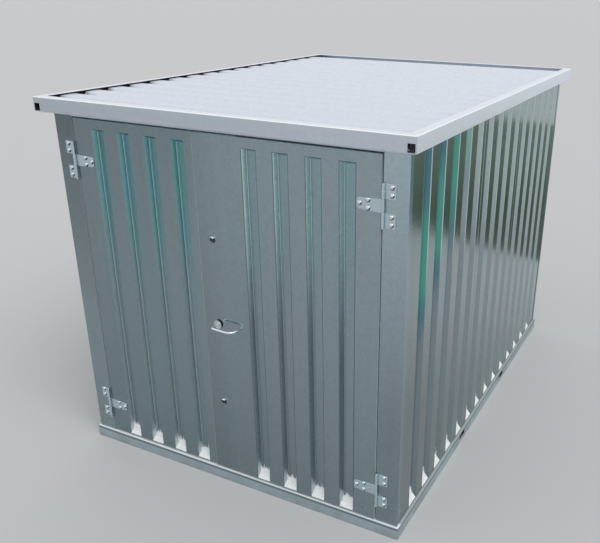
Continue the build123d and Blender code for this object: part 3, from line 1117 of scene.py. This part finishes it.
def fold_light_and_shade(across, axis, face, plus, minus, start=None, seam=None):
    """Painted shade and highlight: thin lines on the folds along the ribs, of a colour for each side of a
    rib.
    """
    def layer(spot, base):
        fold = 1.0 - step(sunk(spot, axis, face), *FOLD_DEPTH)
        if start:
            fold = fold * step(spot.at["Z"], *start)
        if seam:
            fold = fold * (abs(spot.at[across]) > seam)
        turn = spot.facing[across]
        for share, colour in ((turn, plus), (turn * -1.0, minus)):
            base = mix(fold * step(share, *FOLD_TURN), base, colour)
        return base
    return layer


def shaded_corners(face, gain):
    """Painted shade: darker zinc in the inner corners of a leaf's ribs."""
    def layer(spot, base):
        corner = step(sunk(spot, "Y", face), *CORNER_DEPTH) * step(abs(spot.facing["X"]), *CORNER_TURN)
        return mix(corner, base, toned(base, (gain, gain, gain)))
    return layer


def lit_rib_floors(face, gain):
    """Painted light: lighter zinc on the rib floors of a leaf, beside the flanks that lie further from the
    seam.
    """
    def layer(spot, base):
        start = abs(spot.at["X"]) - (DOOR_RIB_INNER - DOOR_MOUTH / 2)
        share = calculated("FRACT", start / DOOR_PITCH) * (DOOR_PITCH / DOOR_MOUTH)
        floor = step(sunk(spot, "Y", face), *FLOOR_DEPTH) * step(share, *FLOOR_SHARE)
        return mix(floor, base, toned(base, gain))
    return layer


def groove_reflection(face, share):
    """Painted reflection: a blue-green colour in the rib grooves of a leaf, strongest at the top."""
    def layer(spot, base):
        groove = step(sunk(spot, "Y", face), *REFLECTION_DEPTH) * step(spot.at["Z"], *REFLECTION_HEIGHT)
        mask = groove * share * (1.0 - flank_mask(spot, "X") * 0.3)
        return toned(base, mix(mask, WHITE, mix(reflection_hue(spot), BLUE_REFLECTION, GREEN_REFLECTION)))
    return layer


def side_reflection(spot, base):
    """Painted reflection: a strong blue colour with a green band on the first flanks of the side walls, lower
    near the front.
    """
    lean = leaning(spot, -0.9) + reflection_hue(spot) * 0.08
    front = 1.0 - step(spot.at["Y"], *SIDE_REFLECTION_FRONT)
    band = step(lean, *GREEN_BAND_START) * (1.0 - step(lean, *GREEN_BAND_END))
    mask = flank_mask(spot, "Y") * step(lean, *SIDE_REFLECTION_LEAN) * front
    return mix(mask, base, mix(band, BLUE_SIDE_REFLECTION, GREEN_SIDE_REFLECTION))


def side_light(spot, base):
    """Painted light: zinc that is darker low down and towards the front."""
    return toned(base, ramp(leaning(spot, 0.3), 0.30, 0.95, 0.95, 1.50), ramp(spot.at["Y"], -1.35, 0.2, 0.95))


def painted_light_along(axis, low, high, gain):
    """Painted light: zinc that grows lighter, or darker, along an axis."""
    return lambda spot, base: toned(base, ramp(spot.at[axis], low, high, 1.0, gain))


def rim_shade(spot, base):
    """Painted shade: a dark edge around a fitting that stands on a leaf."""
    return mix(step(abs(spot.facing["Y"]), 0.35, 0.75), RIM_SHADE, base)


def shaded_face(spot, base):
    """Painted shade: a dark face between bright edges."""
    return mix(step(abs(spot.facing["Y"]), 0.75, 0.95), base, FACE_SHADE)


def rim_highlight(spot, base):
    """Painted highlight: a bright line on the folds between the top and the outside."""
    up = spot.facing["Z"]
    return mix(step(up, 0.20, 0.45) * (1.0 - step(up, 0.95, 0.995)), base, RIM_HIGHLIGHT)


def shaded_inside(spot, base):
    """Painted shade: dark zinc on the inner faces of the side beams."""
    inward = spot.at["X"] * spot.facing["X"] * -1.0
    return mix(step(inward, 0.4, 0.8), base, INSIDE_SHADE)


def shaded_under(colour, low=-0.25, high=0.35, crown_low=0.93, crown_high=0.98):
    """Painted shade below and beside the heads of bolts and on domes, but not on their crowns."""
    def layer(spot, base):
        down = spot.facing["X"] * 0.5 - spot.facing["Z"]
        crown = step(abs(spot.facing["Y"]), crown_low, crown_high)
        return mix(step(down, low, high) * (1.0 - crown), base, colour)
    return layer


def shade_line(spot, base):
    """Painted shade: a dark line under the upper fold of a base rail."""
    height = spot.at["Z"]
    return mix(step(height, 0.055, 0.062) * (1.0 - step(height, 0.068, 0.073)), base, SHADE_LINE)


def run_highlights(axis, face):
    """Painted highlight: white matt zinc on the rib ends that slope upwards, run up raggedly onto the rib
    floors above them.
    """
    def patch(spot):
        speckle = noise(spot.place, 160.0, 3.0)
        strands = noise(stretched(spot.place, (140, 140, 16)), 1.0, 2.0)
        above = (spot.at["Z"] - RUN_TOP) / RUN_REACH
        ragged = step(strands - above * 0.35, 0.42, 0.56) * step(sunk(spot, axis, face), 0.018, 0.028)
        slope = step(spot.facing["Z"] + speckle * 0.25, 0.36, 0.52)
        mask = calculated("MAXIMUM", slope, ragged) * (spot.at["Z"] < 1.0)
        return mask, mix(step(speckle, 0.52, 0.68), RUN_HIGHLIGHT, DIM_RUN_HIGHLIGHT)
    return patch


def returns(spot):
    """Painted light: pale matt zinc on the edges folded straight back, brighter at the seam between the
    leaves.
    """
    across = abs(spot.facing["X"])
    side = abs(spot.at["X"])
    outer = (side > 0.905) * (step(across, 0.20, 0.60) * 0.5)
    folded = step(calculated("MAXIMUM", across, abs(spot.facing["Z"])), 0.965, 0.990)
    return calculated("MAXIMUM", folded, outer), mix(side < SEAM_REACH, PALE_ZINC, BRIGHT_ZINC)


def jambs(colour):
    """Matt zinc on the jambs beside the leaves."""
    return lambda spot: ((abs(spot.at["X"]) < 1.0) * step(abs(spot.facing["X"]), 0.2, 0.5), colour)


def ledge(spot):
    """Painted light: bright matt zinc on the top of the front of the base frame, darker on its sides."""
    return step(spot.facing["Z"], 0.60, 0.90), mix(spot.at["Y"] < -1.42, SHADED_LEDGE_ZINC, BRIGHT_ZINC)


def rubbed(centre, reach, share):
    """A roughness factor for metal rubbed smooth by hands around a place."""
    def factor(spot):
        gap = result(spot.place.tree, "ShaderNodeVectorMath", {0: spot.place, 1: centre}, "Value",
                     operation="DISTANCE")
        return ramp(gap, reach * 0.6, reach, share)
    return factor


# The materials of the sheets

def wall_zinc_facing(name, across, axis, face, light, *reflections):
    """The zinc of a wall with its ribs side by side across one axis and its face along another."""
    return zinc(name, SIDE_BASE, 1.0, 0.18, buckle=0.0009, patches=(run_highlights(axis, face),), layers=(
        light, side_flank_reflection(across), *reflections,
        fold_light_and_shade(across, axis, face, *WALL_FOLD_SHADE_AND_LIGHT, start=WALL_FOLD_START)))


def door_zinc(side, colour, flank_colours, floor, corner, fold_shade_and_light, reflection_share, *changes, gloss=None):
    """The zinc of a leaf, with painted light, shade and reflection: flanks, rib floors and corners, lines
    along the ribs, and the strength of the reflection in the grooves.
    """
    face = -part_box(f"door_{side}")[0].y
    return zinc(f"door_zinc_{side}", colour, 0.95, 0.24, cast=0.4, buckle=0.0009, layers=(
        *changes, flanks("X", *flank_colours), lit_rib_floors(face, floor), groove_reflection(face, reflection_share),
        shaded_corners(face, corner), fold_light_and_shade("X", "Y", face, *fold_shade_and_light, seam=SEAM_REACH),
    ), patches=(run_highlights("Y", face), returns), gloss=gloss)


def post_zinc_of(name, colour, start, gain, jamb_colour):
    """The zinc of a post, with painted light and shade that change along its height from a start."""
    return zinc(name, colour, 0.95, 0.25, buckle=0.0006, layers=(painted_light_along("Z", start, 2.05, gain),),
                patches=(jambs(jamb_colour),))


# Painted light on the walls: the side walls darker low down and to the front, the back wall lighter upwards
wall_zinc = wall_zinc_facing("wall_zinc", "Y", "X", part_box("side_wall_right_front")[1].x,
                             side_light, side_reflection)
back_zinc = wall_zinc_facing("back_zinc", "X", "Y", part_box("back_wall_right")[1].y,
                             painted_light_along("Z", 0.1, 1.0, 1.5))
# Painted light and shade on both leaves, along their width and height
left_door_zinc = door_zinc(
    "left", (0.236, 0.303, 0.330), ((0.515, 0.59, 0.60), (0.50, 0.64, 0.66)), (1.17, 1.22, 1.24), 0.78,
    ((0.24, 0.34, 0.37), (0.36, 0.46, 0.50)), 1.0,
    painted_light_along("X", -0.9, -0.12, 1.10), painted_light_along("Z", 0.2, 1.0, 1.06),
    painted_light_along("Z", 1.3, 2.0, 0.90))
right_door_zinc = door_zinc(
    "right", (0.228, 0.285, 0.309), ((0.50, 0.57, 0.60), (0.84, 0.94, 0.94)), WHITE, 0.68,
    ((0.18, 0.24, 0.26), (0.02, 0.03, 0.035)), 0.4,
    painted_light_along("X", -0.116, 0.05, 1.15), painted_light_along("X", 0.05, 0.9, 1.11),
    painted_light_along("Z", 0.2, 1.9, 1.2),
    gloss=rubbed(lock_line() + Vector((0.05, 0, 0.02)), 0.16, 0.40))
# Painted light: a lit copy for the right and back posts and the header, lighter upwards; a painted-shade copy
# for the left front post, darker upwards with darker jambs
lit_post_zinc = post_zinc_of("lit_post_zinc", (0.26, 0.335, 0.37), 0.7, 1.70, PALE_ZINC)
shaded_post_zinc = post_zinc_of("shaded_post_zinc", (0.285, 0.365, 0.392), 0.9, 0.60, SHADED_JAMB_ZINC)

# The materials of the sections
# Painted light: the roof's zinc is paler than the walls' and its rib flanks lighter still, for the sky they
# face; the beams are painted lighter to the right and on their side faces and tops
roof_zinc = zinc("roof_zinc", (0.675, 0.70, 0.762), 0.5, 0.50, contrast=0.05, streak=(0.8, 60, 60),
                 streak_contrast=0.05, cast=0.3, dust=0.0, layers=(flanks("Y", (0.745, 0.78, 0.835)),))
beam_zinc = zinc("beam_zinc", (0.50, 0.55, 0.61), 0.6, 0.45, contrast=0.05, streak=(1.5, 1.5, 40),
                 streak_contrast=0.06, cast=0.3, dust=0.0, layers=(
                     painted_light_along("X", -1.1, 1.1, 1.15), flanks("X", (0.84, 0.90, 0.97)),
                     flanks("Z", (0.76, 0.79, 0.84)), rim_highlight, shaded_inside))
GROUND_ZINC = {"contrast": 0.06, "streak": (2, 2, 50), "streak_contrast": 0.08, "dust": 0.5,
               "dust_reach": 0.09}
rail_zinc = zinc("rail_zinc", (0.46, 0.555, 0.60), 0.8, 0.42, cast=0.4, **GROUND_ZINC,
                 layers=(shade_line,), patches=(ledge,))
under_zinc = zinc("under_zinc", (0.37, 0.42, 0.455), 0.8, 0.42, **GROUND_ZINC)

# The materials of the fittings
CHROME = {"flake": 0.003, "contrast": 0.05, "cast": 0.0, "dust": 0.0}
fitting_zinc = zinc("fitting_zinc", (0.56, 0.68, 0.74), 1.0, 0.26, flake=0.004, contrast=0.12,
                    streak_contrast=0.06, cast=0.3, dust=0.1)
bolt_zinc = zinc("bolt_zinc", (0.76, 0.84, 0.88), 1.0, 0.16, flake=0.003, contrast=0.08, cast=0.0, dust=0.0,
                 layers=(shaded_under((0.09, 0.11, 0.12)),))
guide_chrome = zinc("guide_chrome", (0.80, 0.86, 0.88), 1.0, 0.12, **CHROME,
                    layers=(shaded_under((0.05, 0.07, 0.07), -0.60, -0.15, 2, 3),))
handle_chrome = zinc("handle_chrome", (0.82, 0.87, 0.89), 1.0, 0.12, **CHROME)
rose_chrome = zinc("rose_chrome", (0.60, 0.67, 0.69), 1.0, 0.12, **CHROME, layers=(rim_shade,))
collar_chrome = zinc("collar_chrome", (0.90, 0.93, 0.94), 1.0, 0.10, **CHROME, layers=(shaded_face,))
floor_timber = timber("floor_timber")


# The container's own pieces

def stand_in(made, body, material, slot):
    """Finishes a piece that comes with the name of the node it stands for."""
    piece, node_name = made
    finish_piece(piece, body, material, slot, node_name)


for side in ("left", "right"):
    for part in ("front", "middle", "back"):
        stand_in(side_wall(side, part), "container", wall_zinc, "wall_zinc")
    stand_in(back_wall(side), "container", back_zinc, "wall_zinc")
    front_zinc = lit_post_zinc if side == "right" else shaded_post_zinc
    stand_in(corner_post("front", side), "container", front_zinc, "wall_zinc")
    stand_in(corner_post("back", side), "container", lit_post_zinc, "wall_zinc")
for side in TURNS:
    stand_in(base_rail(side), "container", rail_zinc, "base_zinc")
    stand_in(roof_beam(side), "container", beam_zinc, "frame_zinc")
for part in ("front", "middle", "back"):
    stand_in(roof_sheet(part), "container", roof_zinc, "roof_zinc")
stand_in(door_header(), "container", lit_post_zinc, "wall_zinc")

# The door leaves
lock_place = lock_line()
lock_holes = [(SPINDLE_HOLE, lock_place.x, lock_place.z)]
lock_holes += [(GUIDE_HOLE, lock_place.x, level) for level in guide_levels()]
stand_in(door_leaf("left"), "left_leaf", left_door_zinc, "wall_zinc")
stand_in(door_leaf("right", lock_holes), "right_leaf", right_door_zinc, "wall_zinc")

# Hinges
for side in ("left", "right"):
    for place in ("lower", "upper"):
        stand_in(hinge_strap(place, side), f"{side}_leaf", fitting_zinc, "fitting_zinc")
        stand_in(hinge_lugs(place, side), "container", fitting_zinc, "fitting_zinc")
        finish_piece(strap_bolts(place, side), f"{side}_leaf", bolt_zinc, "fitting_zinc")
        finish_piece(lug_bolts(place, side), "container", bolt_zinc, "fitting_zinc")

# The handle
finish_piece(bow_handle(), "handle", handle_chrome, "fitting_zinc", "handle_bow")
finish_piece(handle_rose(), "right_leaf", rose_chrome, "fitting_zinc", "handle_rosette")
finish_piece(guide_collars(), "right_leaf", collar_chrome, "fitting_zinc")

# Materials of the nodes that keep their own shape
kept = {
    "floor_board_front": floor_timber, "floor_board_back": floor_timber, "floor_joists": under_zinc,
    "door_sill": under_zinc, "door_left_braces": under_zinc, "door_right_braces": under_zinc,
    "lock_case": fitting_zinc, "lock_rods": fitting_zinc, "rod_guides": guide_chrome,
}
for name, material in kept.items():
    holder = frame["nodes"][name]
    holder.data.materials.clear()
    holder.data.materials.append(material)


# Studio

FLOOR_SIZE = 400
FLOOR_COLOUR = (0.56, 0.56, 0.56)
HORIZON_COLOUR = (0.60, 0.60, 0.60)
SKY_COLOUR = (0.96, 0.98, 1.0)
SKY_RISE = (0.06, 0.28)
SKY_LIGHT = 0.78
SUN_PLACE = (4.5, -2.0, 6.0)
SUN_STRENGTH = 1.0
SUN_SPREAD = 40
CARD_COLOUR = (0.10, 0.14, 0.09)
CARD_TOP_COLOUR = (0.215, 0.275, 0.215)
CARD_START = (1.25, 3.05)
CARD_END = (9.0, 5.20)
CARD_HEIGHT = 1.45


def studio_floor():
    """A plain pale floor."""
    bpy.ops.mesh.primitive_plane_add(size=FLOOR_SIZE)
    floor = named("studio_floor")
    material, tree, shader = blank_material("studio_floor")
    plug(FLOOR_COLOUR, shader["Base Color"])
    plug(0.8, shader["Roughness"])
    plug(0.2, shader["Specular IOR Level"])
    floor.data.materials.append(material)


def soft_sun():
    """A wide soft sun, which lights the floor evenly."""
    data = bpy.data.lights.new("soft_sun", "SUN")
    data.energy = SUN_STRENGTH
    data.angle = radians(SUN_SPREAD)
    lamp = bpy.data.objects.new("soft_sun", data)
    bpy.context.scene.collection.objects.link(lamp)
    lamp.location = SUN_PLACE
    lamp.rotation_euler = (-Vector(SUN_PLACE)).to_track_quat("-Z", "Y").to_euler()


def studio_world():
    """A soft sky that starts at the floor's tone and is white above: seen and mirrored as it is, and a plain
    level where it lights."""
    world = bpy.data.worlds.new("studio_world")
    bpy.context.scene.world = world
    world.use_nodes = True
    tree = world.node_tree
    tree.nodes.clear()
    path = tree.nodes.new("ShaderNodeLightPath").outputs
    seen = Value(path["Is Camera Ray"])
    for ray in ("Is Glossy Ray", "Is Transmission Ray"):
        seen = calculated("MAXIMUM", seen, Value(path[ray]))
    rise = parts_of(Value(tree.nodes.new("ShaderNodeTexCoord").outputs["Generated"]))["Z"]
    sky = add(tree, "ShaderNodeBackground", {"Color": mix(step(rise, *SKY_RISE), HORIZON_COLOUR, SKY_COLOUR),
                                             "Strength": ramp(seen, 0.0, 1.0, SKY_LIGHT)})
    output = tree.nodes.new("ShaderNodeOutputWorld")
    tree.links.new(sky.outputs[0], output.inputs["Surface"])


def camera():
    """The camera at the photograph's viewing angle."""
    data = bpy.data.cameras.new("camera")
    data.lens = CAMERA_LENS
    data.sensor_width = CAMERA_FILM
    data.shift_x, data.shift_y = CAMERA_SHIFT
    data.clip_end = CAMERA_REACH
    azimuth, elevation, roll = map(radians, (CAMERA_AZIMUTH, CAMERA_ELEVATION, CAMERA_ROLL))
    back = Vector((sin(azimuth) * cos(elevation), -cos(azimuth) * cos(elevation), sin(elevation)))
    level = Vector((0, 0, 1)).cross(back).normalized()
    up = back.cross(level)
    right = cos(roll) * level + sin(roll) * up
    top = -sin(roll) * level + cos(roll) * up
    made = bpy.data.objects.new("camera", data)
    bpy.context.scene.collection.objects.link(made)
    made.matrix_world = Matrix.Translation(CAMERA_PLACE) @ Matrix((right, top, back)).transposed().to_4x4()
    bpy.context.scene.camera = made


def dark_card():
    """A low card of dull cloth, paler towards its top and far end, that only mirrors in the metal."""
    start = Vector((*CARD_START, 0))
    card = strip("side_card", start, Vector((*CARD_END, 0)) - start, (0, 0, CARD_HEIGHT))
    material, tree, shader = blank_material("side_card")
    at = Spot(tree).at
    pale = ramp(at["Z"] + at["X"] * 0.35, 1.19, 1.79, 0.0)
    plug(mix(pale, CARD_COLOUR, CARD_TOP_COLOUR), shader["Base Color"])
    plug(1.0, shader["Roughness"])
    card.data.materials.append(material)
    card.visible_camera = False
    card.visible_diffuse = False
    card.visible_shadow = False


studio_floor()
studio_world()
dark_card()
soft_sun()
camera()
bpy.context.scene.view_settings.view_transform = "Standard"
